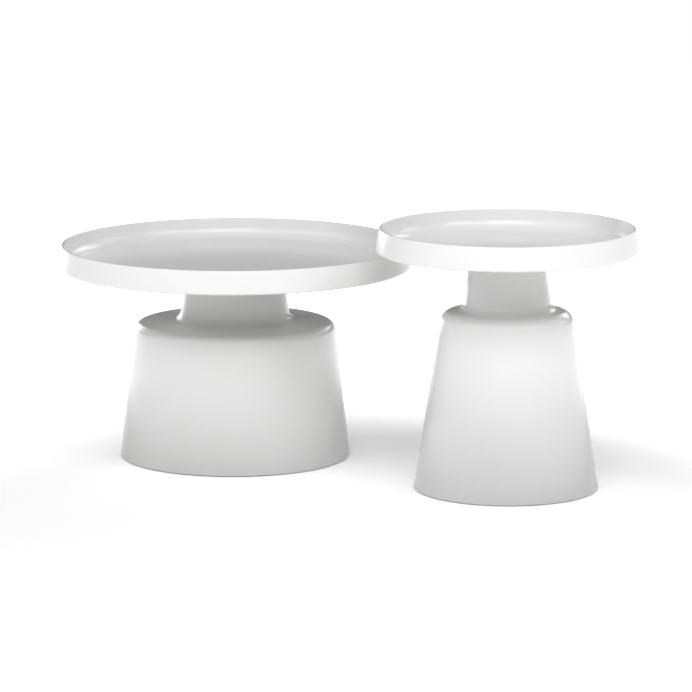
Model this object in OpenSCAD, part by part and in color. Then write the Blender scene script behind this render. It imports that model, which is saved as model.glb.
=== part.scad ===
// A pair of round pedestal tables that nest. The small table is the taller one: its tray passes
// over the large table's tray, and the large tray's edge goes into the recess round the small
// table's neck. Each table is a spun sheet-metal tray bolted to a spun sheet-metal pedestal,
// which stands on four swivel levellers.
// Millimetres. +X runs from the large table to the small one, +Z is up, and the origin is on the
// floor at the middle of the pair.

/* [Large table] */
// Diameter of the tray at its lower edge
large_top_d = 700; // [560:1:840]
// Height from the floor to the tray's rim
large_h = 425; // [355:1:510]
// Diameter of the pedestal at its foot
large_foot_d = 457; // [400:1:548]
// Diameter of the pedestal at its shoulder
large_shoulder_d = 395; // [330:1:440]
// Height of the shoulder's outer edge
large_shoulder_h = 268; // [220:1:310]
// Rise of the shoulder from its outer edge to the neck
large_shoulder_rise = 8.4; // [4:0.1:20]
// Radius that rounds the shoulder's outer edge
large_shoulder_round = 16.5; // [8:0.5:30]
// Diameter of the neck where it leaves the shoulder
large_neck_d = 219.5; // [190:0.5:260]
// Diameter of the neck under the tray
large_neck_top_d = 188; // [160:0.5:215]

/* [Small table] */
// Diameter of the tray at its lower edge
small_top_d = 504; // [420:1:600]
// Height from the floor to the tray's rim
small_h = 505; // [470:1:606]
// Diameter of the pedestal at its foot
small_foot_d = 355; // [300:1:426]
// Diameter of the pedestal at its shoulder
small_shoulder_d = 250; // [225:1:290]
// Height of the shoulder's outer edge
small_shoulder_h = 342; // [290:1:370]
// Rise of the shoulder from its outer edge to the neck
small_shoulder_rise = 8; // [4:0.1:16]
// Radius that rounds the shoulder's outer edge
small_shoulder_round = 23; // [8:0.5:26]
// Diameter of the neck where it leaves the shoulder
small_neck_d = 171; // [150:0.5:185]
// Diameter of the neck under the tray
small_neck_top_d = 138; // [120:0.5:155]

/* [Nesting] */
// Distance between the two tables' axes as they stand side by side
axis_spacing = 617; // [605:1:760]

/* [Trays] */
// How far the outside wall leans out between the rim and the lower edge
tray_flare = 7; // [3:0.5:12]
// Width of the rim's flat top
tray_rim_w = 5; // [4.6:0.1:8]
// Depth of the dish below the rim
tray_depth = 38.5; // [32:0.5:47]
// How far the dish's wall leans in between the rim and the floor
tray_draft = 8; // [4:0.5:14]
// Radius between the dish's wall and its floor
tray_fillet = 24; // [12:0.5:28]
// Thickness of the tray's sheet
tray_sheet = 1.5; // [1.2:0.1:2]
// Thickness of the panel and the mounting plate under the dish
tray_panel_t = 6; // [4:0.5:10]
// Width of the lip turned in under the outside wall
tray_lip_w = 14; // [10:0.5:20]
// Radius that rounds the tray's lower edge
tray_lower_round = 4; // [2.5:0.5:6]

/* [Pedestals] */
// Thickness of the pedestal's sheet
shell_sheet = 2; // [1.5:0.1:2.5]
// Radius between the shoulder and the neck
neck_fillet = 16; // [8:0.5:20]
// Radius that rounds the neck's top edge
neck_top_round = 3; // [2.6:0.1:5]
// Width of the flange turned in at the neck's top
flange_w = 34; // [30:0.5:40]
// Shadow gap between the floor and the pedestal's lower edge
foot_gap = 2.5; // [1.5:0.1:4]

/* [Neck joint] */
// Thickness of the ring that stiffens the neck's flange
neck_ring_t = 4; // [3:0.5:6]
// Number of bolts between neck and tray
neck_bolts = 6; // [4:1:8]
// How far inside the neck's top edge the bolts stand
neck_bolt_inset = 19; // [16:0.5:23]
// How far the tray's mounting plate reaches past the neck
mount_plate_margin = 12; // [8:1:20]

/* [Base] */
// Thickness of the steel base plate
base_plate_t = 5; // [4:0.5:8]
// Thickness of the ring welded inside the pedestal's foot
base_ring_t = 4; // [3:0.5:6]
// Width of the ring welded inside the pedestal's foot
base_ring_w = 34; // [30:0.5:44]

/* [Levellers] */
// Radius of a leveller's pad
pad_r = 15; // [12:0.5:17]
// Height of a leveller's pad
pad_h = 8; // [7:0.5:12]
// Thickness of the felt under a pad
felt_t = 2; // [1:0.5:4]
// Diameter of a leveller's stem
stem_d = 8; // [6:0.5:10]
// How far a leveller screws out
leveller_travel = 8; // [4:0.5:12]

/* [Hidden] */
$fn = 96;

LARGE = 0;
SMALL = 1;
SIZES = ["large", "small"];
LEVELLERS = 4;
BASE_BOLTS = 4; // one between each two levellers

// Each list holds the large table's value, then the small one's.
top_r = [large_top_d / 2, small_top_d / 2];
rim_z = [large_h, small_h];
foot_r = [large_foot_d / 2, small_foot_d / 2];
shoulder_r = [large_shoulder_d / 2, small_shoulder_d / 2];
shoulder_z = [large_shoulder_h, small_shoulder_h];
shoulder_rise = [large_shoulder_rise, small_shoulder_rise];
shoulder_round = [large_shoulder_round, small_shoulder_round];
neck_r = [large_neck_d / 2, small_neck_d / 2];
neck_top_r = [large_neck_top_d / 2, small_neck_top_d / 2];
large_x = (top_r[LARGE] - top_r[SMALL] - axis_spacing) / 2;
table_x = [large_x, large_x + axis_spacing];

// Clearances
weld_gap = 0.2;      // between the neck's ring and the bend round it
panel_gap = 1;       // round the stiffening panel
plate_gap = 2;       // round the base plate
thread_gap = 0.05;   // between a thread and its bore
bolt_hole_gap = 0.3; // between a bolt and a plain hole
swivel_gap = 0.2;    // between a leveller's stem and its pad
stop_gap = 0.3;      // between a leveller's hexagon and the base plate
wall_gap = 4;        // between a leveller's pad and the wall

// Levels
dish_floor_z = [for (z = rim_z) z - tray_depth];
tray_bottom_z = [for (z = dish_floor_z) z - tray_sheet - tray_panel_t];
stem_hex_h = 4;
stem_hex_z = felt_t + pad_h + swivel_gap;
base_plate_z = stem_hex_z + stem_hex_h + stop_gap;
base_ring_z = base_plate_z + base_plate_t;
leveller_nut_z = base_ring_z + base_ring_t;

// Fasteners: M6 bolts and washers, and nuts for the levellers' stems
bolt_r = 3;
bolt_head_r = 5.77;
bolt_head_h = 4;
washer_r = 6.25;
washer_t = 1.5;
stem_r = stem_d / 2;
hex_r = 0.94 * stem_d;
nut_h = 6.5;
rim_round = tray_sheet + 0.4;

// Angles of the repeated pieces
function spread(count, start) = [for (i = [0 : count - 1]) start + i * 360 / count];
leveller_angles = spread(LEVELLERS, 45);
base_bolt_angles = spread(BASE_BOLTS, 0);
neck_bolt_angles = spread(neck_bolts, 0);

// ---- Profiles ----

ARC_STEPS = 10;

function unit(v) = v / norm(v);
function left_of(v) = [-v.y, v.x];
function turning(a, b) = sign(a.x * b.y - a.y * b.x);
function reversed(list) = [for (i = [len(list) - 1 : -1 : 0]) list[i]];

// A path moved sideways to its left by a distance, with mitred corners
function shifted(path, distance) = [
    for (i = [0 : len(path) - 1])
        let (
            before = unit(i > 0 ? path[i] - path[i - 1] : path[1] - path[0]),
            after = i < len(path) - 1 ? unit(path[i + 1] - path[i]) : before,
            mitre = unit(left_of(before) + left_of(after))
        )
        path[i] + mitre * distance / (mitre * left_of(before))
];

// The points that round one corner of a path
function rounded_corner(before, corner, after, radius) =
    radius <= 0 ? [corner] :
    let (
        u = unit(before - corner),
        v = unit(after - corner),
        half = acos(u * v) / 2,
        centre = corner + unit(u + v) * radius / sin(half),
        spoke = corner + u * radius / tan(half) - centre,
        start = atan2(spoke.y, spoke.x),
        sweep = (180 - 2 * half) * turning(corner - before, after - corner)
    )
    [for (k = [0 : ARC_STEPS])
        let (angle = start + sweep * k / ARC_STEPS)
        centre + radius * [cos(angle), sin(angle)]];

// A path with its inner corners rounded
function rounded(path, radii) = [
    path[0],
    for (i = [1 : len(path) - 2])
        each rounded_corner(path[i - 1], path[i], path[i + 1], radii[i - 1]),
    path[len(path) - 1]
];

// The outline of a bent sheet whose face follows a path, and whose thickness lies to the path's
// left, or to its right if it is negative
function sheet_outline(path, radii, thickness) =
    let (
        back_radii = [for (i = [1 : len(path) - 2])
            let (way = turning(path[i] - path[i - 1], path[i + 1] - path[i]))
            max(0, radii[i - 1] - way * thickness)]
    )
    concat(rounded(path, radii), reversed(rounded(shifted(path, thickness), back_radii)));

// Radius inside the pedestal's lower wall at a height
function wall_r(t, z) =
    let (
        run = foot_r[t] - shoulder_r[t],
        rise = shoulder_z[t] - foot_gap
    )
    foot_r[t] - run * (z - foot_gap) / rise - shell_sheet * norm([run, rise]) / rise;

function mount_plate_r(t) = neck_top_r[t] + mount_plate_margin;
function neck_bolt_r(t) = neck_top_r[t] - neck_bolt_inset;
function neck_ring_r(t) = neck_top_r[t] - neck_top_round - weld_gap;
function flange_hole_r(t) = neck_top_r[t] - flange_w;
// The ring's upper edge meets the wall
function base_ring_r(t) = wall_r(t, base_ring_z + base_ring_t);
function base_plate_r(t) = wall_r(t, base_ring_z) - plate_gap;
function leveller_r(t) = wall_r(t, felt_t + pad_h) - wall_gap - pad_r;

// ---- Shared pieces ----

module at_table(t) {
    translate([table_x[t], 0, 0]) children();
}

module around(radius, angles) {
    for (angle = angles)
        rotate([0, 0, angle]) translate([radius, 0, 0]) children();
}

module at_leveller(t, i) {
    at_table(t) around(leveller_r(t), [leveller_angles[i]]) children();
}

// A flat ring, or a disc where the inner radius is 0
module ring(outer, inner, thickness) {
    rotate_extrude()
        translate([inner, 0]) square([outer - inner, thickness]);
}

module hexagon(radius, height) {
    cylinder(r = radius, h = height, $fn = 6);
}

// A bolt with its head down and its shank up, standing on the head's upper face
module bolt(length) {
    translate([0, 0, -bolt_head_h]) hexagon(bolt_head_r, bolt_head_h);
    translate([0, 0, -0.5]) cylinder(r = bolt_r, h = length + 0.5);
}

// ---- Tray ----

// Spun tray: a dish whose wall is folded over at the rim and comes down outside
module tray(t) {
    rim_r = top_r[t] - tray_flare;
    face = [
        [0, dish_floor_z[t]],
        [rim_r - tray_rim_w - tray_draft, dish_floor_z[t]],
        [rim_r - tray_rim_w, rim_z[t]],
        [rim_r, rim_z[t]],
        [top_r[t], tray_bottom_z[t]],
        [top_r[t] - tray_lip_w, tray_bottom_z[t]]
    ];
    radii = [tray_fillet, rim_round, rim_round, tray_lower_round];
    color("white") at_table(t)
        rotate_extrude() polygon(sheet_outline(face, radii, -tray_sheet));
}

// Fibreboard panel glued under the dish, flush with the lip
module tray_panel(t) {
    color("gainsboro") at_table(t) translate([0, 0, tray_bottom_z[t]])
        ring(top_r[t] - tray_lip_w - panel_gap, mount_plate_r(t) + panel_gap, tray_panel_t);
}

// Tapped steel plate under the middle of the dish
module mount_plate(t) {
    color("dimgray") at_table(t) translate([0, 0, tray_bottom_z[t]])
        difference() {
            cylinder(r = mount_plate_r(t), h = tray_panel_t);
            around(neck_bolt_r(t), neck_bolt_angles)
                translate([0, 0, -1]) cylinder(r = bolt_r + thread_gap, h = tray_panel_t + 2);
        }
}

// ---- Pedestal ----

// Spun pedestal: lower wall, shoulder, neck and the flange at its top
module pedestal(t) {
    face = [
        [foot_r[t], foot_gap],
        [shoulder_r[t], shoulder_z[t]],
        [neck_r[t], shoulder_z[t] + shoulder_rise[t]],
        [neck_top_r[t], tray_bottom_z[t]],
        [flange_hole_r(t), tray_bottom_z[t]]
    ];
    radii = [shoulder_round[t], neck_fillet, neck_top_round];
    color("white") at_table(t)
        difference() {
            rotate_extrude() polygon(sheet_outline(face, radii, shell_sheet));
            around(neck_bolt_r(t), neck_bolt_angles)
                translate([0, 0, tray_bottom_z[t] - shell_sheet - 1])
                    cylinder(r = bolt_r + bolt_hole_gap, h = shell_sheet + 2);
        }
}

// Steel ring welded under the neck's flange
module neck_ring(t) {
    color("dimgray") at_table(t)
        translate([0, 0, tray_bottom_z[t] - shell_sheet - neck_ring_t])
            difference() {
                ring(neck_ring_r(t), flange_hole_r(t), neck_ring_t);
                around(neck_bolt_r(t), neck_bolt_angles)
                    translate([0, 0, -1])
                        cylinder(r = bolt_r + bolt_hole_gap, h = neck_ring_t + 2);
            }
}

module neck_washer_set(t) {
    color("silver") at_table(t)
        around(neck_bolt_r(t), neck_bolt_angles)
            translate([0, 0, tray_bottom_z[t] - shell_sheet - neck_ring_t - washer_t])
                ring(washer_r, bolt_r + bolt_hole_gap, washer_t);
}

module neck_bolt_set(t) {
    grip = washer_t + neck_ring_t + shell_sheet;
    color("silver") at_table(t)
        around(neck_bolt_r(t), neck_bolt_angles)
            translate([0, 0, tray_bottom_z[t] - grip]) bolt(grip + tray_panel_t - 1);
}

// ---- Base ----

// Steel ring welded inside the pedestal's foot, tapped for the base bolts
module base_ring(t) {
    color("dimgray") at_table(t) translate([0, 0, base_ring_z])
        difference() {
            ring(base_ring_r(t), base_ring_r(t) - base_ring_w, base_ring_t);
            around(leveller_r(t), base_bolt_angles)
                translate([0, 0, -1]) cylinder(r = bolt_r + thread_gap, h = base_ring_t + 2);
            around(leveller_r(t), leveller_angles)
                translate([0, 0, -1]) cylinder(r = stem_r + bolt_hole_gap, h = base_ring_t + 2);
        }
}

// Steel plate that closes the foot and keeps the table's weight low
module base_plate(t) {
    color("dimgray") at_table(t) translate([0, 0, base_plate_z])
        difference() {
            cylinder(r = base_plate_r(t), h = base_plate_t);
            around(leveller_r(t), base_bolt_angles)
                translate([0, 0, -1]) cylinder(r = bolt_r + bolt_hole_gap, h = base_plate_t + 2);
            around(leveller_r(t), leveller_angles)
                translate([0, 0, -1]) cylinder(r = stem_r + bolt_hole_gap, h = base_plate_t + 2);
        }
}

module base_bolt_set(t) {
    color("silver") at_table(t) around(leveller_r(t), base_bolt_angles)
        translate([0, 0, base_plate_z]) bolt(base_plate_t + base_ring_t + 1);
}

// Nuts welded on the ring, one for each leveller's stem
module leveller_nut_set(t) {
    color("silver") at_table(t)
        around(leveller_r(t), leveller_angles)
            translate([0, 0, leveller_nut_z])
                difference() {
                    hexagon(hex_r, nut_h);
                    translate([0, 0, -1]) cylinder(r = stem_r + thread_gap, h = nut_h + 2);
                }
}

// ---- Levellers ----

// The stem's round foot turns in the pad's socket
stem_foot_r = stem_r + 2;
stem_foot_h = 2.5;
socket_floor_z = felt_t + 2;
socket_lip_z = socket_floor_z + stem_foot_h + 2 * swivel_gap;

module leveller_stem(t, i) {
    top_z = leveller_nut_z + nut_h + leveller_travel + 2;
    foot_z = socket_floor_z + swivel_gap;
    color("silver") at_leveller(t, i) {
        translate([0, 0, foot_z]) cylinder(r = stem_foot_r, h = stem_foot_h);
        translate([0, 0, foot_z]) cylinder(r = stem_r, h = top_z - foot_z);
        translate([0, 0, stem_hex_z]) hexagon(hex_r, stem_hex_h);
    }
}

module leveller_pad(t, i) {
    edge = 1.5;
    color("dimgray") at_leveller(t, i)
        rotate_extrude() polygon([
            [0, felt_t],
            [pad_r, felt_t],
            [pad_r, felt_t + pad_h - edge],
            [pad_r - edge, felt_t + pad_h],
            [stem_r + swivel_gap, felt_t + pad_h],
            [stem_r + swivel_gap, socket_lip_z],
            [stem_foot_r + swivel_gap, socket_lip_z],
            [stem_foot_r + swivel_gap, socket_floor_z],
            [0, socket_floor_z]
        ]);
}

module leveller_felt(t, i) {
    color("gray") at_leveller(t, i) cylinder(r = pad_r - 1, h = felt_t);
}

// ---- The assembly ----

function of_table(t, name) = str(SIZES[t], "_", name);
function of_leveller(t, name, i) = str(SIZES[t], "_", name, "_", i + 1);

TABLE_PIECES = [
    "tray", "tray_panel", "mount_plate", "pedestal", "neck_ring", "neck_washers", "neck_bolts",
    "base_ring", "base_plate", "base_bolts", "leveller_nuts"
];
LEVELLER_PIECES = ["leveller_stem", "leveller_pad", "leveller_felt"];

for (t = [LARGE, SMALL]) {
    tray(t);
    tray_panel(t);
    mount_plate(t);
    pedestal(t);
    neck_ring(t);
    neck_washer_set(t);
    neck_bolt_set(t);
    base_ring(t);
    base_plate(t);
    base_bolt_set(t);
    leveller_nut_set(t);
    for (i = [0 : LEVELLERS - 1]) {
        leveller_stem(t, i);
        leveller_pad(t, i);
        leveller_felt(t, i);
    }
}
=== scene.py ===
# %% [markdown]
# # A pair of nesting tables in white powder coat
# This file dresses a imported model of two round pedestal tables. Each table is a spun sheet-metal
# tray bolted to a spun sheet-metal pedestal, and stands on four screw-in feet. The sizes and
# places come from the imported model, and every length here is in metres.

# %% Load the model
import math

import bmesh
import bpy
from mathutils import Matrix, Vector, noise


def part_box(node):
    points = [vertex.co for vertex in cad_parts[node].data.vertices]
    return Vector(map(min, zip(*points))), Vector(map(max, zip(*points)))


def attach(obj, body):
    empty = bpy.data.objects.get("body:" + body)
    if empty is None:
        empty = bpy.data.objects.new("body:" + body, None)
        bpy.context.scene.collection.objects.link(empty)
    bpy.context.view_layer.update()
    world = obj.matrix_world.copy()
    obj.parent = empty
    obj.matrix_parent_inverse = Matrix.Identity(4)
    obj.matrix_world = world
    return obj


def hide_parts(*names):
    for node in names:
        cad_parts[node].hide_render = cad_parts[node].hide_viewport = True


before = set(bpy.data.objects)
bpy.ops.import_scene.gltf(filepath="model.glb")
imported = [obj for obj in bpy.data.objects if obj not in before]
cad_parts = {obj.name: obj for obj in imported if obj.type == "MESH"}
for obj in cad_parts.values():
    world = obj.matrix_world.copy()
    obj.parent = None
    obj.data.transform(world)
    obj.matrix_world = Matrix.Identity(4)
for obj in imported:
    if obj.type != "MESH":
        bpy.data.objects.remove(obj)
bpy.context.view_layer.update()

TABLES = ("large", "small")
MM = 0.001

# %% [markdown]
# ## Camera
# The tables are seen from far away with a long lens, which keeps the circles of the trays as
# clean ellipses. The camera stands 1.7 m up and looks a little down on the trays.

# %% Camera
CAMERA_PLACE = Vector((4.280, -7.112, 1.740))
CAMERA_AZIMUTH = math.radians(31.05)
CAMERA_PITCH = math.radians(10.226)
LENS_MM = 224.15
SENSOR_MM = 36
FARTHEST_SEEN = 200


def heading(azimuth, elevation=0.0):
    """The direction from the tables towards a viewer or a lamp."""
    return Vector((math.sin(azimuth) * math.cos(elevation),
                   -math.cos(azimuth) * math.cos(elevation),
                   math.sin(elevation)))


camera = bpy.data.objects.new("camera", bpy.data.cameras.new("camera"))
bpy.context.scene.collection.objects.link(camera)
camera.location = CAMERA_PLACE
camera.rotation_euler = heading(CAMERA_AZIMUTH, CAMERA_PITCH).to_track_quat("Z", "Y").to_euler()
camera.data.sensor_width = SENSOR_MM
camera.data.lens = LENS_MM
camera.data.clip_end = FARTHEST_SEEN
bpy.context.scene.camera = camera
print("camera", [round(v, 3) for v in camera.location], "lens", LENS_MM)

# %% [markdown]
# ## Node helpers
# Materials and Geometry Nodes trees are both graphs of nodes. One short helper puts a node in a
# graph and fills its sockets: a value that is itself a socket becomes a link.


# %% Node helpers
def put(tree, kind, inputs=None, **properties):
    """Adds a node, sets its properties, and fills or links its inputs."""
    made = tree.nodes.new(kind)
    for name, value in properties.items():
        setattr(made, name, value)
    for name, value in (inputs or {}).items():
        socket = made.inputs[name]
        if isinstance(value, bpy.types.NodeSocket):
            tree.links.new(value, socket)
        else:
            socket.default_value = value
    return made


def math_node(tree, operation, *values):
    """A Math node's result."""
    return put(tree, "ShaderNodeMath", dict(enumerate(values)), operation=operation).outputs[0]


def new_sockets(tree, side, sockets):
    """Gives a node group its named inputs or outputs."""
    for name, kind in sockets.items():
        tree.interface.new_socket(name, in_out=side, socket_type="NodeSocket" + kind)


print("node helpers are ready")

# %% [markdown]
# ## Shared effects
# Every finish here has the same two small faults of real surfaces. The first is a grain: a fine
# height that breaks up reflections, with a slow drift that no factory finish is free of. The
# second is edge rub: where a surface turns sharply, hands and cloths polish or darken it. Both
# are node groups, so each material uses them with its own sizes.


# %% Grain group
def make_grain():
    """A fine height that can be stretched, and a slow drift from 0 to 1."""
    tree = bpy.data.node_groups.new("Grain", "ShaderNodeTree")
    new_sockets(tree, "INPUT", {"Fine scale": "Float", "Slow scale": "Float", "Stretch": "Vector"})
    new_sockets(tree, "OUTPUT", {"Height": "Float", "Drift": "Float"})
    given = tree.nodes.new("NodeGroupInput").outputs
    place = put(tree, "ShaderNodeTexCoord").outputs["Object"]
    stretched = put(tree, "ShaderNodeVectorMath", {0: place, 1: given["Stretch"]},
                    operation="MULTIPLY")
    fine = put(tree, "ShaderNodeTexNoise", {
        "Vector": stretched.outputs[0], "Scale": given["Fine scale"],
        "Detail": 3.0, "Roughness": 0.55})
    slow = put(tree, "ShaderNodeTexNoise", {
        "Vector": place, "Scale": given["Slow scale"], "Detail": 2.0})
    put(tree, "NodeGroupOutput", {"Height": fine.outputs[0], "Drift": slow.outputs[0]})
    return tree


GRAIN = make_grain()
print("group", GRAIN.name, "with", [s.name for s in GRAIN.interface.items_tree])


# %% Edge rub group
def make_edge_rub():
    """How much a place is rubbed, in patches along the edges."""
    tree = bpy.data.node_groups.new("Edge rub", "ShaderNodeTree")
    new_sockets(tree, "INPUT", {"Start": "Float", "End": "Float", "Patch scale": "Float"})
    new_sockets(tree, "OUTPUT", {"Rub": "Float"})
    given = tree.nodes.new("NodeGroupInput").outputs
    place = put(tree, "ShaderNodeTexCoord").outputs["Object"]
    turn = put(tree, "ShaderNodeNewGeometry").outputs["Pointiness"]
    edge = put(tree, "ShaderNodeMapRange", {"Value": turn, "From Min": given["Start"],
                                            "From Max": given["End"]})
    patch = put(tree, "ShaderNodeTexNoise", {
        "Vector": place, "Scale": given["Patch scale"], "Detail": 4.0})
    rub = math_node(tree, "MULTIPLY", edge.outputs[0], patch.outputs[0])
    put(tree, "NodeGroupOutput", {"Rub": rub})
    return tree


EDGE_RUB = make_edge_rub()
print("group", EDGE_RUB.name)

# %% [markdown]
# ## Finishes
# Each finish is a Principled shader. Its colour, roughness and normal come from the groups, and
# anything that is the same all over is set on the shader itself.


# %% Material helpers
def use_group(tree, group, **inputs):
    """Places a shader group in a material. Underscores in input names stand for spaces."""
    made = put(tree, "ShaderNodeGroup", node_tree=group)
    for name, value in inputs.items():
        made.inputs[name.replace("_", " ")].default_value = value
    return made.outputs


def span(tree, value, low, high):
    """Stretches a 0 to 1 value over a range."""
    return put(tree, "ShaderNodeMapRange", {"Value": value, "To Min": low, "To Max": high}).outputs[0]


def mixed(tree, factor, first, second):
    """A colour between two colours."""
    blend = put(tree, "ShaderNodeMix", data_type="RGBA")
    tree.links.new(factor, blend.inputs["Factor"])
    for socket, colour in ((blend.inputs[6], first), (blend.inputs[7], second)):
        if isinstance(colour, bpy.types.NodeSocket):
            tree.links.new(colour, socket)
        else:
            socket.default_value = (*colour, 1)
    return blend.outputs[2]


def bumped(tree, height, distance):
    """A normal from a height in metres."""
    return put(tree, "ShaderNodeBump", {"Height": height, "Distance": distance}).outputs[0]


def new_material(name, preview):
    """An empty material with a Principled shader joined to its output."""
    made = bpy.data.materials.new(name)
    made.use_nodes = True
    made.diffuse_color = (*preview, 1)
    made.node_tree.nodes.clear()
    shader = put(made.node_tree, "ShaderNodeBsdfPrincipled")
    put(made.node_tree, "ShaderNodeOutputMaterial", {"Surface": shader.outputs[0]})
    return made, made.node_tree, shader.inputs


def feed(tree, sockets, **values):
    """Sets or links a shader's sockets. Underscores in names stand for spaces."""
    for name, value in values.items():
        socket = sockets[name.replace("_", " ")]
        if isinstance(value, bpy.types.NodeSocket):
            tree.links.new(value, socket)
        else:
            socket.default_value = value


print("material helpers are ready")

# %% [markdown]
# ### White powder coat
# Powder is sprayed on dry and baked until it flows into one smooth skin. It keeps a faint orange
# peel a few millimetres across, under a satin gloss. A low bump at that scale bends the
# reflections the way the real skin does, and the rubbed edges are a touch greyer.


# %% White powder coat
def make_powder_coat():
    white, rubbed = (0.76, 0.76, 0.757), (0.58, 0.58, 0.57)
    made, tree, shader = new_material("baked_white_powder", white)
    grain = use_group(tree, GRAIN, Fine_scale=420.0, Slow_scale=3.0, Stretch=(1, 1, 1))
    speck = use_group(tree, GRAIN, Fine_scale=2600.0, Slow_scale=60.0, Stretch=(1, 1, 1))
    rub = use_group(tree, EDGE_RUB, Start=0.56, End=0.75, Patch_scale=35.0)["Rub"]
    drifted = mixed(tree, grain["Drift"], (0.745, 0.745, 0.74), (0.77, 0.77, 0.77))
    colour = mixed(tree, rub, drifted, rubbed)
    specks = math_node(tree, "MULTIPLY", speck["Height"], 0.15)
    height = math_node(tree, "ADD", grain["Height"], specks)
    feed(tree, shader, Base_Color=colour, Roughness=span(tree, speck["Drift"], 0.2, 0.27),
         Normal=bumped(tree, height, 0.00004), Specular_IOR_Level=0.5)
    return made


POWDER_COAT = make_powder_coat()
print("finish", POWDER_COAT.name)

# %% [markdown]
# ### Melamine film
# The board under the tray is fibreboard with a pale grey film pressed on. The film has a fine
# printed fleck and a matt, slightly pebbled face.


# %% Melamine film
def make_melamine():
    made, tree, shader = new_material("grey_melamine", (0.5, 0.5, 0.49))
    grain = use_group(tree, GRAIN, Fine_scale=1500.0, Slow_scale=9.0, Stretch=(1, 1, 1))
    fleck = put(tree, "ShaderNodeTexVoronoi",
                {"Vector": put(tree, "ShaderNodeTexCoord").outputs["Object"], "Scale": 700.0})
    dots = put(tree, "ShaderNodeMapRange", {"Value": fleck.outputs["Distance"], "From Min": 0.12,
                                            "From Max": 0.28})
    paper = mixed(tree, grain["Drift"], (0.46, 0.46, 0.45), (0.54, 0.54, 0.53))
    feed(tree, shader, Base_Color=mixed(tree, dots.outputs[0], (0.36, 0.36, 0.35), paper),
         Roughness=span(tree, grain["Height"], 0.45, 0.62),
         Normal=bumped(tree, grain["Height"], 0.00003))
    return made


MELAMINE = make_melamine()
print("finish", MELAMINE.name)

# %% [markdown]
# ### Oiled plate steel
# Hot-rolled plate keeps a blue-grey mill scale, mottled in patches and rubbed bright at its cut
# edges. Rolling draws the grain out in one direction, so the noise is stretched along X.


# %% Oiled plate steel
def make_plate_steel():
    made, tree, shader = new_material("oiled_plate", (0.25, 0.26, 0.27))
    grain = use_group(tree, GRAIN, Fine_scale=900.0, Slow_scale=28.0, Stretch=(0.12, 1, 1))
    rub = use_group(tree, EDGE_RUB, Start=0.52, End=0.62, Patch_scale=60.0)["Rub"]
    scale = mixed(tree, grain["Drift"], (0.11, 0.115, 0.125), (0.3, 0.31, 0.32))
    feed(tree, shader, Base_Color=mixed(tree, rub, scale, (0.62, 0.61, 0.6)), Metallic=0.9,
         Roughness=span(tree, grain["Drift"], 0.52, 0.34),
         Normal=bumped(tree, grain["Height"], 0.00005))
    return made


PLATE_STEEL = make_plate_steel()
print("finish", PLATE_STEEL.name)

# %% [markdown]
# ### Black textured coat
# The base plate has a cheaper, rougher powder: a fine wrinkle that hides scratches. A Voronoi
# pattern pushed about by noise gives the small rounded grains.


# %% Black textured coat
def make_textured_coat():
    made, tree, shader = new_material("black_textured_coat", (0.04, 0.04, 0.042))
    grain = use_group(tree, GRAIN, Fine_scale=1100.0, Slow_scale=14.0, Stretch=(1, 1, 1))
    rub = use_group(tree, EDGE_RUB, Start=0.53, End=0.65, Patch_scale=50.0)["Rub"]
    pebble = put(tree, "ShaderNodeTexVoronoi",
                 {"Vector": put(tree, "ShaderNodeTexCoord").outputs["Object"], "Scale": 850.0,
                  "Smoothness": 0.6}, feature="SMOOTH_F1")
    height = math_node(tree, "SUBTRACT", grain["Height"], pebble.outputs["Distance"])
    black = mixed(tree, grain["Drift"], (0.03, 0.03, 0.032), (0.055, 0.055, 0.057))
    feed(tree, shader, Base_Color=mixed(tree, rub, black, (0.2, 0.2, 0.2)),
         Roughness=span(tree, grain["Drift"], 0.5, 0.66), Normal=bumped(tree, height, 0.00018))
    return made


TEXTURED_COAT = make_textured_coat()
print("finish", TEXTURED_COAT.name)

# %% [markdown]
# ### Bright zinc
# Bolts and stems are zinc plated: a silvery skin with a thin blue and straw passivation that
# changes from patch to patch, duller in the low places.


# %% Bright zinc
def make_zinc():
    made, tree, shader = new_material("bright_zinc", (0.72, 0.73, 0.74))
    grain = use_group(tree, GRAIN, Fine_scale=2400.0, Slow_scale=120.0, Stretch=(1, 1, 0.4))
    rub = use_group(tree, EDGE_RUB, Start=0.52, End=0.64, Patch_scale=300.0)["Rub"]
    plated = mixed(tree, grain["Drift"], (0.56, 0.62, 0.7), (0.78, 0.74, 0.62))
    feed(tree, shader, Base_Color=mixed(tree, rub, plated, (0.9, 0.9, 0.9)), Metallic=1.0,
         Roughness=span(tree, grain["Height"], 0.2, 0.38),
         Normal=bumped(tree, grain["Height"], 0.00002))
    return made


ZINC = make_zinc()
print("finish", ZINC.name)

# %% [markdown]
# ### Moulded nylon
# The foot pads come from a spark-eroded mould, which leaves an even fine matt grain. Nylon edges
# shine a little where they have been dragged.


# %% Moulded nylon
def make_nylon():
    made, tree, shader = new_material("moulded_nylon", (0.035, 0.035, 0.037))
    grain = use_group(tree, GRAIN, Fine_scale=3200.0, Slow_scale=90.0, Stretch=(1, 1, 1))
    rub = use_group(tree, EDGE_RUB, Start=0.53, End=0.66, Patch_scale=250.0)["Rub"]
    colour = mixed(tree, grain["Drift"], (0.026, 0.026, 0.028), (0.045, 0.045, 0.047))
    feed(tree, shader, Base_Color=mixed(tree, rub, colour, (0.1, 0.1, 0.1)),
         Roughness=span(tree, grain["Height"], 0.42, 0.58),
         Normal=bumped(tree, grain["Height"], 0.00003))
    return made


NYLON = make_nylon()
print("finish", NYLON.name)

# %% [markdown]
# ### Wool felt
# Felt is matted fibre, so it has no weave: long thin noise laid both ways gives the fibres, and
# the sheen gives the soft pale edge of wool.


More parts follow.
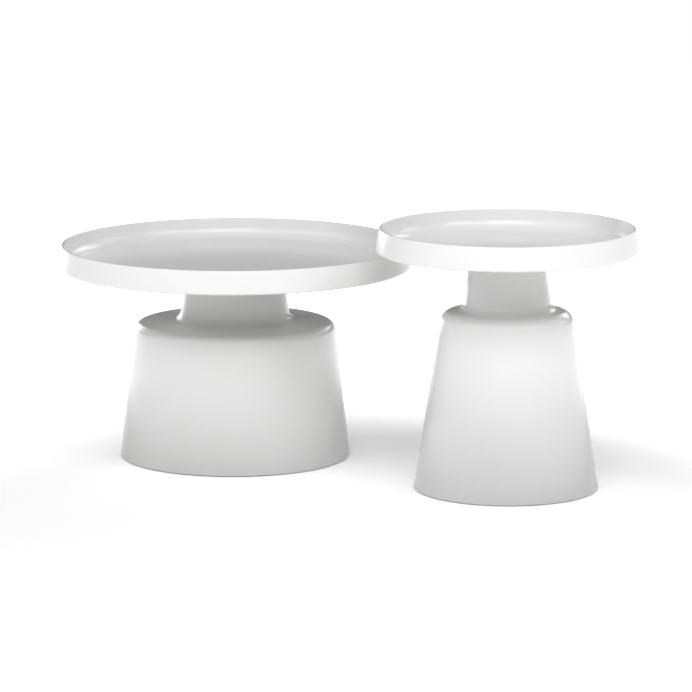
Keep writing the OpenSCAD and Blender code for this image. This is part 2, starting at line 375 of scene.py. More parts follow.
# %% Wool felt
def make_felt():
    made, tree, shader = new_material("wool_felt", (0.2, 0.2, 0.21))
    along = use_group(tree, GRAIN, Fine_scale=2200.0, Slow_scale=160.0, Stretch=(0.15, 1, 1))
    across = use_group(tree, GRAIN, Fine_scale=2200.0, Slow_scale=220.0, Stretch=(1, 0.15, 1))
    height = math_node(tree, "MAXIMUM", along["Height"], across["Height"])
    fibre = mixed(tree, height, (0.07, 0.07, 0.075), (0.36, 0.36, 0.37))
    feed(tree, shader, Base_Color=mixed(tree, along["Drift"], fibre, (0.2, 0.2, 0.21)),
         Roughness=span(tree, height, 0.85, 1.0), Normal=bumped(tree, height, 0.0003),
         Sheen_Weight=0.5, Sheen_Roughness=0.5)
    return made


FELT = make_felt()
print("finish", FELT.name)

# %% [markdown]
# ## Profiles
# A spun piece is one flat outline turned about an axis. The outline is drawn as a few corners,
# each with a radius: an arc takes the place of the corner. A support point is left just past
# each end of an arc, so that smooth shading bends only over the arc and the straight walls stay
# straight.

# %% Profiles
ARC_STEPS = 10
SUPPORT = 0.4 * MM
TIGHTEST_BEND = 0.05 * MM


def rounded_corner(before, corner, after, radius):
    """The points that round one corner of an outline, with a support point at each end."""
    u, v = (before - corner).normalized(), (after - corner).normalized()
    half = u.angle(v) / 2
    centre = corner + (u + v).normalized() * radius / math.sin(half)
    reach = radius / math.tan(half)
    first = corner + u * reach - centre
    turn = math.copysign(math.pi - 2 * half, (corner - before).cross(after - corner))
    arc = []
    for k in range(ARC_STEPS + 1):
        a = turn * k / ARC_STEPS
        arc.append(centre + Vector((first.x * math.cos(a) - first.y * math.sin(a),
                                    first.x * math.sin(a) + first.y * math.cos(a))))
    return [corner + u * (reach + SUPPORT), *arc, corner + v * (reach + SUPPORT)]


def shifted(path, distance):
    """An outline moved sideways to its left, with mitred corners."""
    moved = []
    for i, point in enumerate(path):
        ahead = (path[i + 1] - point).normalized() if i + 1 < len(path) else None
        behind = (point - path[i - 1]).normalized() if i else ahead
        ahead = ahead or behind
        left_a, left_b = behind.orthogonal(), ahead.orthogonal()
        mitre = (left_a + left_b).normalized()
        moved.append(point + mitre * distance / mitre.dot(left_a))
    return moved


def sheet_outline(path, radii, thickness):
    """The outline of a bent sheet: one face follows the path, and the sheet lies to its left."""
    path = [Vector(p) for p in path]
    back = shifted(path, thickness)
    out, home = [path[0]], [back[0]]
    for i, radius in enumerate(radii, 1):
        way = math.copysign(1, (path[i] - path[i - 1]).cross(path[i + 1] - path[i]))
        inner = max(radius - way * thickness, TIGHTEST_BEND)
        out += rounded_corner(path[i - 1], path[i], path[i + 1], radius)
        home += rounded_corner(back[i - 1], back[i], back[i + 1], inner)
    return [*out, path[-1], back[-1], *reversed(home)]


print("profiles are ready, with", ARC_STEPS, "steps in each arc")

# %% [markdown]
# ## The lathe
# A sheet spun on a lathe has the same outline all the way round, so a Geometry Nodes tree turns
# the outline into the piece. A grid gets one column for each outline point and one row for each
# step of the turn. Each grid point takes its radius and height from the outline, and its angle
# from its row. Merging by distance closes the seam and the pole. A Screw modifier could do this
# too, but the tree keeps its sizes as named inputs.


# %% Lathe tree
WELD_DISTANCE = 1e-6
HALF_STEP = 0.5


def new_tree(name, inputs):
    """A Geometry Nodes tree with a geometry in and out and its named inputs."""
    tree = bpy.data.node_groups.new(name, "GeometryNodeTree")
    new_sockets(tree, "INPUT", {"Geometry": "Geometry", **inputs})
    new_sockets(tree, "OUTPUT", {"Geometry": "Geometry"})
    return tree, tree.nodes.new("NodeGroupInput").outputs


def make_lathe():
    """Turns an outline, drawn as radius and height, about an upright axis."""
    tree, given = new_tree("Lathe", {"Steps": "Int", "Axis": "Vector", "Finish": "Material"})
    index = put(tree, "GeometryNodeInputIndex").outputs[0]
    outline = put(tree, "GeometryNodeInputPosition").outputs[0]
    count = put(tree, "GeometryNodeAttributeDomainSize", {"Geometry": given["Geometry"]},
                component="MESH").outputs["Point Count"]
    rows = math_node(tree, "ADD", given["Steps"], 1.0)
    grid = put(tree, "GeometryNodeMeshGrid", {"Vertices X": count, "Vertices Y": rows})
    middle = math_node(tree, "ADD", index, HALF_STEP)
    column = math_node(tree, "FLOOR", math_node(tree, "DIVIDE", middle, rows))
    row = math_node(tree, "FLOORED_MODULO", index, rows)
    point = put(tree, "GeometryNodeSampleIndex", {"Geometry": given["Geometry"], "Index": column},
                data_type="FLOAT_VECTOR")
    tree.links.new(outline, point.inputs["Value"])
    sizes = put(tree, "ShaderNodeSeparateXYZ", {0: point.outputs[0]}).outputs
    angle = math_node(tree, "MULTIPLY", math_node(tree, "DIVIDE", row, given["Steps"]), math.tau)
    turned = put(tree, "ShaderNodeCombineXYZ", {
        "X": math_node(tree, "MULTIPLY", sizes["X"], math_node(tree, "COSINE", angle)),
        "Y": math_node(tree, "MULTIPLY", sizes["X"], math_node(tree, "SINE", angle)),
        "Z": sizes["Y"]})
    place = put(tree, "ShaderNodeVectorMath", {0: turned.outputs[0], 1: given["Axis"]},
                operation="ADD")
    moved = put(tree, "GeometryNodeSetPosition", {"Geometry": grid.outputs["Mesh"],
                                                  "Position": place.outputs[0]})
    merged = put(tree, "GeometryNodeMergeByDistance", {"Geometry": moved.outputs[0],
                                                       "Distance": WELD_DISTANCE})
    smooth = put(tree, "GeometryNodeSetShadeSmooth", {"Geometry": merged.outputs[0],
                                                      "Shade Smooth": True})
    real = put(tree, "GeometryNodeRealizeInstances", {"Geometry": smooth.outputs[0]})
    done = put(tree, "GeometryNodeSetMaterial", {"Geometry": real.outputs[0],
                                                 "Material": given["Finish"]})
    put(tree, "NodeGroupOutput", {"Geometry": done.outputs[0]})
    return tree


LATHE = make_lathe()
print("tree", LATHE.name, "with", len(LATHE.nodes), "nodes")


# %% Growing a piece from a tree
def grown(name, start, tree, **inputs):
    """Runs a tree on a start mesh and keeps its result as a plain mesh. Underscores are spaces."""
    host = bpy.data.objects.new(name, start)
    bpy.context.scene.collection.objects.link(host)
    modifier = host.modifiers.new("Grow", "NODES")
    modifier.node_group = tree
    ids = {s.name: s.identifier for s in tree.interface.items_tree if s.in_out == "INPUT"}
    for label, value in inputs.items():
        modifier[ids[label.replace("_", " ")]] = value
    evaluated = host.evaluated_get(bpy.context.evaluated_depsgraph_get())
    mesh = bpy.data.meshes.new_from_object(evaluated)
    host.modifiers.clear()
    host.data = mesh
    mesh.name = name
    mesh.materials.clear()
    mesh.materials.append(inputs["Finish"])
    return host


def outward(mesh):
    """Turns the faces to point outwards, which they do where they enclose a positive volume."""
    mesh.calc_loop_triangles()
    points = mesh.vertices
    volume = sum(points[t.vertices[0]].co.dot(points[t.vertices[1]].co.cross(points[t.vertices[2]].co))
                 for t in mesh.loop_triangles)
    if volume < 0:
        mesh.flip_normals()
    return abs(volume) / 6


def settle(piece, body, node):
    """Hands a finished piece to its body, in place of its plain model."""
    volume = outward(piece.data)
    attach(piece, body)
    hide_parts(node)
    print(f"{piece.name}: {len(piece.data.polygons)} faces, {volume * 1e6:.1f} cm3")


def spun(name, outline, axis, steps, finish):
    """A piece turned on the lathe from its outline, about an upright axis."""
    edges = [(i, i + 1) for i in range(len(outline) - 1)]
    start = bpy.data.meshes.new(name + "_outline")
    start.from_pydata([(p.x, p.y, 0) for p in outline], edges, [])
    return grown(name, start, LATHE, Steps=steps, Axis=axis, Finish=finish)


print("growing helpers are ready")

# %% [markdown]
# ## Trays
# Each tray starts as a flat disc that is spun into a dish. Its wall is folded over at the rim,
# comes down outside with a slight flare, and ends in a lip turned in below. One outline holds
# all of it, so the rim, the fillet of the dish and the lower edge flow into each other.

# %% Sizes that both tables share
TRAY_SHEET = 1.5 * MM
TRAY_FLARE = 7 * MM
TRAY_DEPTH = 38.5 * MM
TRAY_DRAFT = 8 * MM
TRAY_FILLET = 24 * MM
TRAY_LIP = 14 * MM
TRAY_LOWER_ROUND = 4 * MM
RIM_WIDTH = 5 * MM
RIM_ROUND = TRAY_SHEET + 0.4 * MM
SHELL_SHEET = 2 * MM
NECK_FILLET = 16 * MM
NECK_TOP_ROUND = 3 * MM
FLANGE_WIDTH = 34 * MM
SHELL_STEPS = 192

# %% Sizes of each table
# These are the corners of the outlines before they are rounded. A shoulder and the foot of a neck
# are each a radius and a height. The lower corner of a tray lies just outside its finished edge.
DRAWN = {
    "large": {"tray_r": 350 * MM, "foot_r": 228.5 * MM,
              "shoulder": (197.5 * MM, 268 * MM), "shoulder_round": 16.5 * MM,
              "neck": (109.75 * MM, 276.4 * MM), "neck_top_r": 94 * MM},
    "small": {"tray_r": 252 * MM, "foot_r": 177.5 * MM,
              "shoulder": (125 * MM, 342 * MM), "shoulder_round": 23 * MM,
              "neck": (85.5 * MM, 350 * MM), "neck_top_r": 69 * MM},
}


def axis_of(node):
    """The upright axis of a round piece: the middle of its box, on the floor."""
    low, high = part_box(node)
    return Vector(((low.x + high.x) / 2, (low.y + high.y) / 2, 0))


AXIS = {table: axis_of(table + "_tray") for table in TABLES}
print("axes in mm", {t: [round(v / MM, 1) for v in a] for t, a in AXIS.items()})


# %% Spin the trays
def make_tray(table):
    """One tray, from the middle of its floor out, over the rim and in under the lower edge."""
    low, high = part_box(table + "_tray")
    lower_r = DRAWN[table]["tray_r"]
    rim_r = lower_r - TRAY_FLARE
    floor = high.z - TRAY_DEPTH
    face = [(0, floor), (rim_r - RIM_WIDTH - TRAY_DRAFT, floor), (rim_r - RIM_WIDTH, high.z),
            (rim_r, high.z), (lower_r, low.z), (lower_r - TRAY_LIP, low.z)]
    outline = sheet_outline(face, [TRAY_FILLET, RIM_ROUND, RIM_ROUND, TRAY_LOWER_ROUND], -TRAY_SHEET)
    piece = spun(table + "_spun_tray", outline, AXIS[table], SHELL_STEPS, POWDER_COAT)
    settle(piece, table + "_table", table + "_tray")


for table in TABLES:
    make_tray(table)

# %% [markdown]
# ## Pedestals
# Each pedestal is one spun sheet too: a tapered lower wall, a rounded shoulder, a sweep into the
# narrower neck, and a flange turned in at the top for the bolts. The lower edge is left open and
# stands a few millimetres off the floor, which draws the thin dark line under each table.


# %% Spin the pedestals
def make_pedestal(table):
    """One pedestal, from its lower edge up to the flange."""
    low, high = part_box(table + "_pedestal")
    drawn = DRAWN[table]
    face = [(drawn["foot_r"], low.z), drawn["shoulder"], drawn["neck"], (drawn["neck_top_r"], high.z),
            (drawn["neck_top_r"] - FLANGE_WIDTH, high.z)]
    outline = sheet_outline(face, [drawn["shoulder_round"], NECK_FILLET, NECK_TOP_ROUND], SHELL_SHEET)
    outline.append(outline[0])
    piece = spun(table + "_spun_pedestal", outline, AXIS[table], SHELL_STEPS, POWDER_COAT)
    settle(piece, table + "_table", table + "_pedestal")


for table in TABLES:
    make_pedestal(table)

# %% [markdown]
# ## Tray panels
# Under each tray lies a ring of fibreboard, cut by a router and eased at its edges so that the
# film doesn't chip. It is another lathe piece, with its four corners rounded by less than a
# millimetre.

# %% Spin the tray panels
PANEL_GAP = 1 * MM
PANEL_EASE = 0.8 * MM


def eased_ring(inner, outer, low, high, ease):
    """The outline of a flat ring with rounded edges, closed on itself."""
    corners = [Vector(c) for c in ((inner, low), (outer, low), (outer, high), (inner, high))]
    out = []
    for i, corner in enumerate(corners):
        out += rounded_corner(corners[i - 1], corner, corners[(i + 1) % 4], ease)
    return [*out, out[0]]


def half_width(node):
    """The radius of a round piece, from its box."""
    low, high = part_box(node)
    return (high.x - low.x) / 2


def make_tray_panel(table):
    """The board under one tray, with a hole that clears the mounting plate."""
    node = table + "_tray_panel"
    low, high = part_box(node)
    inner = half_width(table + "_mount_plate") + PANEL_GAP
    outline = eased_ring(inner, half_width(node), low.z, high.z, PANEL_EASE)
    piece = spun(table + "_eased_panel", outline, AXIS[table], SHELL_STEPS, MELAMINE)
    settle(piece, table + "_table", node)


for table in TABLES:
    make_tray_panel(table)

# %% [markdown]
# ## Cut plates
# The mounting plates, rings and base plates are cut from flat stock by laser, with round holes
# for bolts and stems. Each is drawn as circles on one plane. A filled curve makes the plate with
# its holes, and its bevel takes the sharp edge off as a file would.

# %% Sizes of bolts and stems
BOLT_R = 3 * MM
STEM_R = 4 * MM
THREAD_GAP = 0.05 * MM
HOLE_GAP = 0.3 * MM
SWIVEL_GAP = 0.2 * MM
WASHER_R = 6.25 * MM
BOLT_FLATS_R = 5 * MM
STEM_FLATS_R = 6.51 * MM
BOLT_HEAD_H = 4 * MM
BOLT_PITCH = 1 * MM
STEM_PITCH = 1.25 * MM
BASE_RING_WIDTH = 34 * MM
QUARTER = math.pi / 2

# Bolt heads reach past their circle by the radius of their corners.
BOLT_CORNER_R = 5.77 * MM
NECK_BOLT_CIRCLE = {t: half_width(t + "_neck_bolts") - BOLT_CORNER_R for t in TABLES}
FOOT_CIRCLE = {t: half_width(t + "_base_bolts") - BOLT_CORNER_R for t in TABLES}
NECK_BOLTS = 6
FEET = 4
for table in TABLES:
    print(table, "bolt circles in mm", round(NECK_BOLT_CIRCLE[table] / MM, 1),
          round(FOOT_CIRCLE[table] / MM, 1))


# %% Plate maker
HOLE_STEPS = 24
FILED_EDGE = 0.35 * MM
# Edges that turn by more than this many degrees stay sharp.
TURNED_SHARP = 35
PLATE_SHARP = 20


def circle(x, y, radius, steps):
    """The points of a circle."""
    return [(x + radius * math.cos(math.tau * k / steps), y + radius * math.sin(math.tau * k / steps))
            for k in range(steps)]


def holes(circle_r, radius, count, first_angle):
    """Small circles spaced evenly round a big one."""
    angles = [first_angle + math.tau * k / count for k in range(count)]
    return [circle(circle_r * math.cos(a), circle_r * math.sin(a), radius, HOLE_STEPS) for a in angles]


def dressed(name, mesh, finish, sharp):
    """An object round a mesh, smooth except where its faces meet at more than the sharp angle."""
    mesh.name = name
    mesh.materials.clear()
    mesh.materials.append(finish)
    mesh.shade_smooth()
    mesh.set_sharp_from_angle(angle=math.radians(sharp))
    made = bpy.data.objects.new(name, mesh)
    bpy.context.scene.collection.objects.link(made)
    return made


def cut_plate(name, loops, axis, low, high, finish):
    """A flat plate with holes, from its outlines, with filed edges."""
    drawing = bpy.data.curves.new(name, "CURVE")
    drawing.dimensions = "2D"
    drawing.fill_mode = "BOTH"
    drawing.extrude = (high - low) / 2 - FILED_EDGE
    drawing.bevel_depth = FILED_EDGE
    drawing.bevel_resolution = 1
    drawing.offset = -FILED_EDGE
    for loop in loops:
        line = drawing.splines.new("POLY")
        line.points.add(len(loop) - 1)
        line.points.foreach_set("co", [v for x, y in loop for v in (x, y, 0, 1)])
        line.use_cyclic_u = True
    sketch = bpy.data.objects.new(name, drawing)
    bpy.context.scene.collection.objects.link(sketch)
    evaluated = sketch.evaluated_get(bpy.context.evaluated_depsgraph_get())
    mesh = bpy.data.meshes.new_from_object(evaluated)
    bpy.data.objects.remove(sketch)
    mesh.transform(Matrix.Translation((axis.x, axis.y, (low + high) / 2)))
    weld = bmesh.new()
    weld.from_mesh(mesh)
    bmesh.ops.remove_doubles(weld, verts=weld.verts, dist=WELD_DISTANCE)
    bmesh.ops.recalc_face_normals(weld, faces=weld.faces)
    weld.to_mesh(mesh)
    weld.free()
    return dressed(name, mesh, finish, PLATE_SHARP)


print("plates get a filed edge of", FILED_EDGE / MM, "mm")


# %% Cut the plates
RING_STEPS = {"neck_ring": 96, "base_ring": 128}


def make_plates(table):
    """The mounting plate, both rings and the base plate of one table."""
    axis = AXIS[table]
    neck_r, foot_r = NECK_BOLT_CIRCLE[table], FOOT_CIRCLE[table]
    flange_hole = DRAWN[table]["neck_top_r"] - FLANGE_WIDTH
    base_hole = half_width(table + "_base_ring") - BASE_RING_WIDTH
    stems = holes(foot_r, STEM_R + HOLE_GAP, FEET, QUARTER / 2)
    drawn = {
        "mount_plate": holes(neck_r, BOLT_R + THREAD_GAP, NECK_BOLTS, 0),
        "neck_ring": [circle(0, 0, flange_hole, RING_STEPS["neck_ring"]),
                      *holes(neck_r, BOLT_R + HOLE_GAP, NECK_BOLTS, 0)],
        "base_ring": [circle(0, 0, base_hole, RING_STEPS["base_ring"]), *stems,
                      *holes(foot_r, BOLT_R + THREAD_GAP, FEET, 0)],
        "base_plate": [*stems, *holes(foot_r, BOLT_R + HOLE_GAP, FEET, 0)],
    }
    for part, inner in drawn.items():
        node = table + "_" + part
        low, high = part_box(node)
        coat = part == "base_plate"
        piece = cut_plate(node + "_cut", [circle(0, 0, half_width(node), SHELL_STEPS), *inner], axis,
                          low.z, high.z, TEXTURED_COAT if coat else PLATE_STEEL)
        settle(piece, table + "_table", node)


for table in TABLES:
    make_plates(table)

# %% [markdown]
# ## Turned and threaded parts
# Bolts, nuts, washers and stems are stacks of rings. Each ring is a height and a rule that gives
# the radius at every angle: a circle keeps one radius, a hexagon's radius swells at its corners,
# and a thread's radius rises and falls as it winds. Where the two ends of a hexagon are
# chamfered, its edge ring dips at the corners, which draws the curved lines of a real bolt head.

# %% Rings of turned parts
TURN_STEPS = 48
SIXTH = math.pi / 3
CHAMFER_SLOPE = math.tan(math.radians(30))
# Shares of half the width across a hexagon's flats: where the chamfer starts to cut, and the
# radius of the flat face inside it.
CHAMFER_START = 0.97
HEX_FACE = 0.96
# A share of the pitch.
THREAD_DEPTH = 0.55
RINGS_PER_TURN = 6


def round_ring(radius, z):
    """A ring with the same radius all round."""
    return lambda angle: (radius, z)


def hex_ring(flats_r, z, way):
    """The edge ring of a hexagon, which dips at the corners by the chamfer: up or down."""
    def rule(angle):
        radius = flats_r / math.cos(angle % SIXTH - SIXTH / 2)
        return radius, z - way * max(0.0, radius - flats_r * CHAMFER_START) * CHAMFER_SLOPE
    return rule


def thread_ring(radius, pitch, z, fade):
    """A ring of a screw thread. Its depth fades to nothing near the ends."""
    depth = THREAD_DEPTH * pitch * fade

    def rule(angle):
        phase = (z / pitch - angle / math.tau) % 1
        return radius - depth * abs(2 * phase - 1), z
    return rule


def thread_rings(radius, pitch, low, high):
    """The rings of a screw thread between two heights."""
    count = max(2, round((high - low) / pitch * RINGS_PER_TURN))
    made = []
    for k in range(count + 1):
        z = low + (high - low) * k / count
        fade = min(1.0, (z - low) / pitch, (high - z) / pitch)
        made.append(thread_ring(radius, pitch, z, max(0.0, fade)))
    return made


def hex_rings(flats_r, low, high):
    """The rings of a hexagon with both ends chamfered, from low to high."""
    return [round_ring(flats_r * HEX_FACE, low), hex_ring(flats_r, low, -1),
            hex_ring(flats_r, high, 1), round_ring(flats_r * HEX_FACE, high)]


def stacked(name, rings, closed=False):
    """A closed mesh from a stack of rings. It ends in two poles, or its last ring joins its first."""
    points, faces, n = [], [], TURN_STEPS
    for rule in rings:
        for k in range(n):
            angle = math.tau * k / n
            radius, z = rule(angle)
            points.append((radius * math.cos(angle), radius * math.sin(angle), z))
    pairs = [(i, i + 1) for i in range(len(rings) - 1)] + ([(len(rings) - 1, 0)] if closed else [])
    for i, j in pairs:
        faces += [(i * n + k, i * n + (k + 1) % n, j * n + (k + 1) % n, j * n + k) for k in range(n)]
    if not closed:
        for ring, flip in ((0, True), (len(rings) - 1, False)):
            points.append((0, 0, points[ring * n][2]))
            pole = len(points) - 1
            for k in range(n):
                first, second = ring * n + k, ring * n + (k + 1) % n
                faces.append((second, first, pole) if flip else (first, second, pole))
    mesh = bpy.data.meshes.new(name)
    mesh.from_pydata(points, [], faces)
    return mesh


def bolt_mesh(shank):
    """An M6 bolt with its dished head down. The head's upper face is at height 0."""
    fillet, relief, point, dish = 0.2 * MM, 0.6 * MM, 0.7 * MM, 0.25 * MM
    return stacked("bolt", [
        round_ring(BOLT_FLATS_R * 0.6, -BOLT_HEAD_H + dish),
        round_ring(BOLT_FLATS_R * 0.7, -BOLT_HEAD_H),
        *hex_rings(BOLT_FLATS_R, -BOLT_HEAD_H, 0),
        round_ring(BOLT_R + fillet, 0), round_ring(BOLT_R, fillet),
        *thread_rings(BOLT_R, BOLT_PITCH, relief, shank - point),
        round_ring(BOLT_R - relief, shank)])


def washer_mesh():
    """An M6 washer with stamped, slightly rounded edges, lying on height 0."""
    thick, ease = 1.5 * MM, 0.25 * MM
    inner = BOLT_R + HOLE_GAP
    return stacked("washer", [round_ring(inner + ease, 0), round_ring(WASHER_R - ease, 0),
                              round_ring(WASHER_R, ease), round_ring(WASHER_R, thick - ease),
                              round_ring(WASHER_R - ease, thick), round_ring(inner + ease, thick),
                              round_ring(inner, thick - ease), round_ring(inner, ease)], closed=True)


def nut_mesh(height):
    """A nut for a levelling stem, standing on height 0."""
    inner, ease = STEM_R + THREAD_GAP, 0.6 * MM
    return stacked("nut", [round_ring(inner + ease, 0), *hex_rings(STEM_FLATS_R, 0, height),
                           round_ring(inner + ease, height), round_ring(inner, height - ease),
                           round_ring(inner, ease)], closed=True)


print("turned parts have", TURN_STEPS, "steps round")

# %% [markdown]
# ## Sets of fasteners
# Bolts, washers and nuts sit evenly on a circle, so a Geometry Nodes tree places them: a circle of
# points gets one copy of the part on each point. Every copy is turned by its own angle, because a
# bolt is tightened until it is tight and stops where it likes.


# %% Fastener circle tree
def make_fastener_circle():
    """Copies one fastener round a circle and turns each copy by its own angle."""
    tree, given = new_tree("Fastener circle", {
        "Count": "Int", "Circle radius": "Float", "First angle": "Float", "Spin": "Float",
        "Seed": "Int", "Place": "Vector", "Finish": "Material"})
    points = put(tree, "GeometryNodeMeshCircle", {"Vertices": given["Count"],
                                                  "Radius": given["Circle radius"]})
    chance = put(tree, "FunctionNodeRandomValue", data_type="FLOAT")
    tree.links.new(given["Spin"], chance.inputs[3])
    tree.links.new(given["Seed"], chance.inputs["Seed"])
    turn = put(tree, "ShaderNodeCombineXYZ", {"Z": chance.outputs[1]})
    copies = put(tree, "GeometryNodeInstanceOnPoints", {"Points": points.outputs[0],
                                                        "Instance": given["Geometry"],
                                                        "Rotation": turn.outputs[0]})
    start = put(tree, "ShaderNodeCombineXYZ", {"Z": given["First angle"]})
    moved = put(tree, "GeometryNodeTransform", {"Geometry": copies.outputs[0],
                                                "Translation": given["Place"],
                                                "Rotation": start.outputs[0]})
    real = put(tree, "GeometryNodeRealizeInstances", {"Geometry": moved.outputs[0]})
    done = put(tree, "GeometryNodeSetMaterial", {"Geometry": real.outputs[0],
                                                 "Material": given["Finish"]})
    put(tree, "NodeGroupOutput", {"Geometry": done.outputs[0]})
    return tree


FASTENER_CIRCLE = make_fastener_circle()
print("tree", FASTENER_CIRCLE.name)


# %% Place the fasteners
def make_fasteners(table, name, part, count, circle_r, first_angle, height, seed):
    """A full circle of one fastener under a table."""
    node = table + "_" + name
    piece = grown(node + "_set", part, FASTENER_CIRCLE, Count=count, Circle_radius=circle_r,
                  First_angle=first_angle, Spin=SIXTH, Seed=seed,
                  Place=(AXIS[table].x, AXIS[table].y, height), Finish=ZINC)
    piece.data.shade_smooth()
    piece.data.set_sharp_from_angle(angle=math.radians(TURNED_SHARP))
    settle(piece, table + "_table", node)


for seed, table in enumerate(TABLES, 1):
    for name, circle_r, count in (("neck_bolts", NECK_BOLT_CIRCLE[table], NECK_BOLTS),
                                  ("base_bolts", FOOT_CIRCLE[table], FEET)):
        low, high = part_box(table + "_" + name)
        head_top = low.z + BOLT_HEAD_H
        make_fasteners(table, name, bolt_mesh(high.z - head_top), count, circle_r, 0.0, head_top, seed)
    washer_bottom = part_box(table + "_neck_washers")[0].z
    make_fasteners(table, "neck_washers", washer_mesh(), NECK_BOLTS, NECK_BOLT_CIRCLE[table], 0.0,
                   washer_bottom, seed)
    low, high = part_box(table + "_leveller_nuts")
    make_fasteners(table, "leveller_nuts", nut_mesh(high.z - low.z), FEET, FOOT_CIRCLE[table],
                   QUARTER / 2, low.z, seed)

# %% [markdown]
# ## Levelling feet
# A stem is one turned bar: a round foot caught in the pad, a plain neck, a hexagon for a spanner,
# and a thread up through the base plate, the ring and the nut. The pad is moulded nylon, with
# shallow flutes round its side for wet fingers and a socket that holds the stem's foot. A felt
# disc is glued under it.

# %% Sizes of the feet
STEM_FOOT_R = 6 * MM
STEM_FOOT_H = 2.5 * MM
STEM_HEX_Z = 10.2 * MM
STEM_HEX_H = 4 * MM
SOCKET_FLOOR = 4 * MM
FLUTES = 24
FLUTE_DEPTH = 0.35 * MM
PAD_EDGE_STEPS = 5
FELT_FUZZ = 0.25 * MM
FELT_TUFTS = 7


def fluted_ring(radius, z, depth):
    """A ring with shallow upright flutes."""
    return lambda angle: (radius - depth * (0.5 - 0.5 * math.cos(FLUTES * angle)), z)


def stem_mesh(low, high):
    """A levelling stem, standing at its own height."""
    ease, point = 0.3 * MM, 0.8 * MM
    foot_top, hex_top = low + STEM_FOOT_H, STEM_HEX_Z + STEM_HEX_H
    return stacked("stem", [
        round_ring(STEM_FOOT_R - ease, low), round_ring(STEM_FOOT_R, low + ease),
        round_ring(STEM_FOOT_R, foot_top - ease), round_ring(STEM_FOOT_R - ease, foot_top),
        round_ring(STEM_R, foot_top), round_ring(STEM_R, STEM_HEX_Z),
        *hex_rings(STEM_FLATS_R, STEM_HEX_Z, hex_top), round_ring(STEM_R, hex_top),
        *thread_rings(STEM_R, STEM_PITCH, hex_top + ease, high - point),
        round_ring(STEM_R - point, high)])


def pad_mesh(low, high, pad_r):
    """A nylon pad with a fluted side and the socket for a stem's foot."""
    edge, ease = 1.5 * MM, 0.4 * MM
    lip = SOCKET_FLOOR + STEM_FOOT_H + 2 * SWIVEL_GAP
    socket_r, neck_r = STEM_FOOT_R + SWIVEL_GAP, STEM_R + SWIVEL_GAP
    shoulder = high - edge
    turns = [k * QUARTER / PAD_EDGE_STEPS for k in range(1, PAD_EDGE_STEPS + 1)]
    return stacked("pad", [
        round_ring(pad_r - ease, low), fluted_ring(pad_r, low + ease, 0),
        fluted_ring(pad_r, low + 3 * ease, FLUTE_DEPTH),
        fluted_ring(pad_r, shoulder - ease, FLUTE_DEPTH), fluted_ring(pad_r, shoulder, 0),
        *(round_ring(pad_r - edge * (1 - math.cos(a)), shoulder + edge * math.sin(a)) for a in turns),
        round_ring(neck_r + ease, high), round_ring(neck_r, high - ease), round_ring(neck_r, lip),
        round_ring(socket_r, lip), round_ring(socket_r, SOCKET_FLOOR)])


def felt_mesh(low, high, felt_r):
    """A felt disc whose edge is pulled in and out by loose fibres."""
    def fuzzy(radius, z):
        def rule(angle):
            place = Vector((math.cos(angle), math.sin(angle), z / MM)) * FELT_TUFTS
            return radius - FELT_FUZZ * (0.5 + 0.5 * noise.noise(place)), z
        return rule
    bulge, thick = 0.25 * MM, high - low
    return stacked("felt", [fuzzy(felt_r - bulge, low), fuzzy(felt_r, low + thick * 0.3),
                            fuzzy(felt_r, low + thick * 0.7), fuzzy(felt_r - bulge, high)])


print("feet have a stem, a pad with", FLUTES, "flutes and a felt disc")


# %% Make the feet
def make_foot_part(table, name, number, shape, finish, rides):
    """One part of one levelling foot, on the body that it moves with."""
    node = f"{table}_leveller_{name}_{number}"
    low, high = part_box(node)
    width = [] if name == "stem" else [half_width(node)]
    mesh = shape(low.z, high.z, *width)
    mesh.transform(Matrix.Translation(axis_of(node)))
    piece = dressed(f"{table}_{name}_{number}_turned", mesh, finish, TURNED_SHARP)
    settle(piece, f"{table}_{rides}_{number}", node)


for table in TABLES:
    for number in range(1, FEET + 1):
        make_foot_part(table, "stem", number, stem_mesh, ZINC, "stem")
        make_foot_part(table, "pad", number, pad_mesh, NYLON, "foot")
        make_foot_part(table, "felt", number, felt_mesh, FELT, "foot")
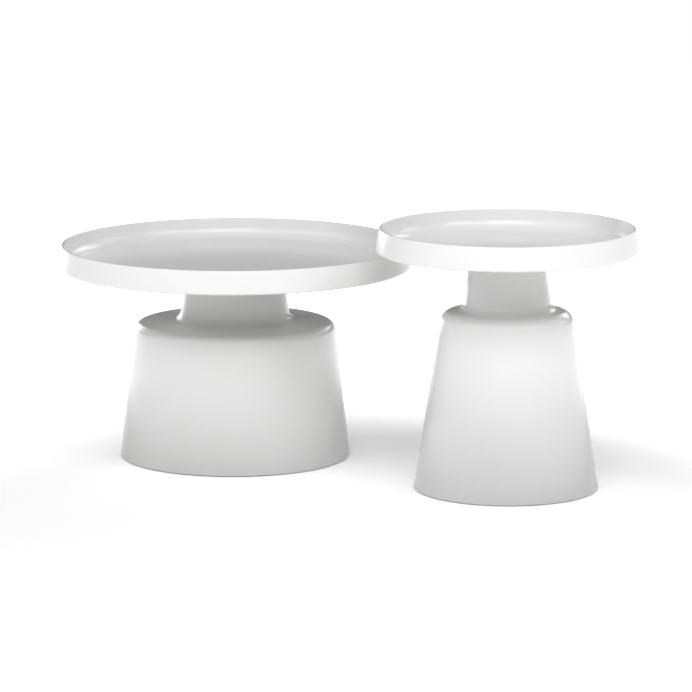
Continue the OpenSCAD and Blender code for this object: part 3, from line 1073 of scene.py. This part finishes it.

# %% [markdown]
# ## Studio
# The tables stand on a white sweep that burns out to pure white. One large soft lamp above the
# camera lights the fronts and the dishes, and weaker ones all round keep both sides from going
# grey. None of those in front is low, so the necks stay darker under their trays. Away from the
# tables the floor also glows by itself. This is painted light: an emission in the floor that stands
# in for a sweep lit by its own lamps, and it lights the tables too. The glow is weak under the
# tables and just in front, where it would wash out their shadows, and full further out.

# %% Floor
FLOOR_HALF = 40.0
FLOOR_WHITE = (0.9, 0.9, 0.9)
GLOW_CENTRE = 0.5
GLOW_STARTS, GLOW_IS_FULL = 0.7, 1.4
WEAK_GLOW, FULL_GLOW = 0.15, 0.95
corners = ((-1, -1), (1, -1), (1, 1), (-1, 1))
floor_mesh = bpy.data.meshes.new("studio_floor")
floor_mesh.from_pydata([(x * FLOOR_HALF, y * FLOOR_HALF, 0) for x, y in corners], [], [(0, 1, 2, 3)])
floor = bpy.data.objects.new("studio_floor", floor_mesh)
bpy.context.scene.collection.objects.link(floor)
floor_finish, floor_tree, floor_shader = new_material("studio_floor", FLOOR_WHITE)
spot = put(floor_tree, "ShaderNodeTexCoord").outputs["Object"]
away = put(floor_tree, "ShaderNodeVectorMath", {0: spot, 1: heading(CAMERA_AZIMUTH) * GLOW_CENTRE},
           operation="DISTANCE").outputs["Value"]
# Painted light: the floor emits light, weakly near the tables and fully further out.
glow = put(floor_tree, "ShaderNodeMapRange",
           {"Value": away, "From Min": GLOW_STARTS, "From Max": GLOW_IS_FULL,
            "To Min": WEAK_GLOW, "To Max": FULL_GLOW}, interpolation_type="SMOOTHSTEP")
feed(floor_tree, floor_shader, Base_Color=(*FLOOR_WHITE, 1), Roughness=0.8,
     Emission_Color=(1, 1, 1, 1), Emission_Strength=glow.outputs[0])
floor_mesh.materials.append(floor_finish)
print("floor", 2 * FLOOR_HALF, "m square")


# %% Lamps
LAMP_DISTANCE = 4.0
LAMP_TARGET = Vector((0, 0, 0.25))
WORLD_LIGHT = 0.05


def softbox(name, azimuth, elevation, power, size):
    """A soft lamp that looks at the middle of the pair. Its azimuth is counted from the camera's."""
    lamp = bpy.data.objects.new(name, bpy.data.lights.new(name, "AREA"))
    bpy.context.scene.collection.objects.link(lamp)
    towards = heading(CAMERA_AZIMUTH + math.radians(azimuth), math.radians(elevation))
    lamp.location = LAMP_TARGET + towards * LAMP_DISTANCE
    lamp.rotation_euler = towards.to_track_quat("Z", "Y").to_euler()
    lamp.data.shape = "SQUARE"
    lamp.data.size = size
    lamp.data.energy = power
    print("lamp", name, [round(v, 2) for v in lamp.location], power, "W")


# Each lamp has a name, an azimuth and an elevation in degrees, a power in watts and a width.
LAMPS = (("front", 0, 46, 90, 2.6), ("front_right", 30, 45, 18, 1.6),
         ("left_front", -55, 38, 26, 2.5), ("left_side", -80, 30, 26, 2.5),
         ("left_back", -150, 8, 28, 1.6), ("right_front", 55, 36, 30, 1.6),
         ("right_side", 110, 25, 15, 1.6), ("right_back", 150, 25, 26, 1.6))
for lamp in LAMPS:
    softbox(*lamp)

world = bpy.data.worlds.new("studio")
bpy.context.scene.world = world
world.use_nodes = True
background = world.node_tree.nodes["Background"].inputs
background["Color"].default_value = (1, 1, 1, 1)
background["Strength"].default_value = WORLD_LIGHT
bpy.context.scene.view_settings.view_transform = "Standard"
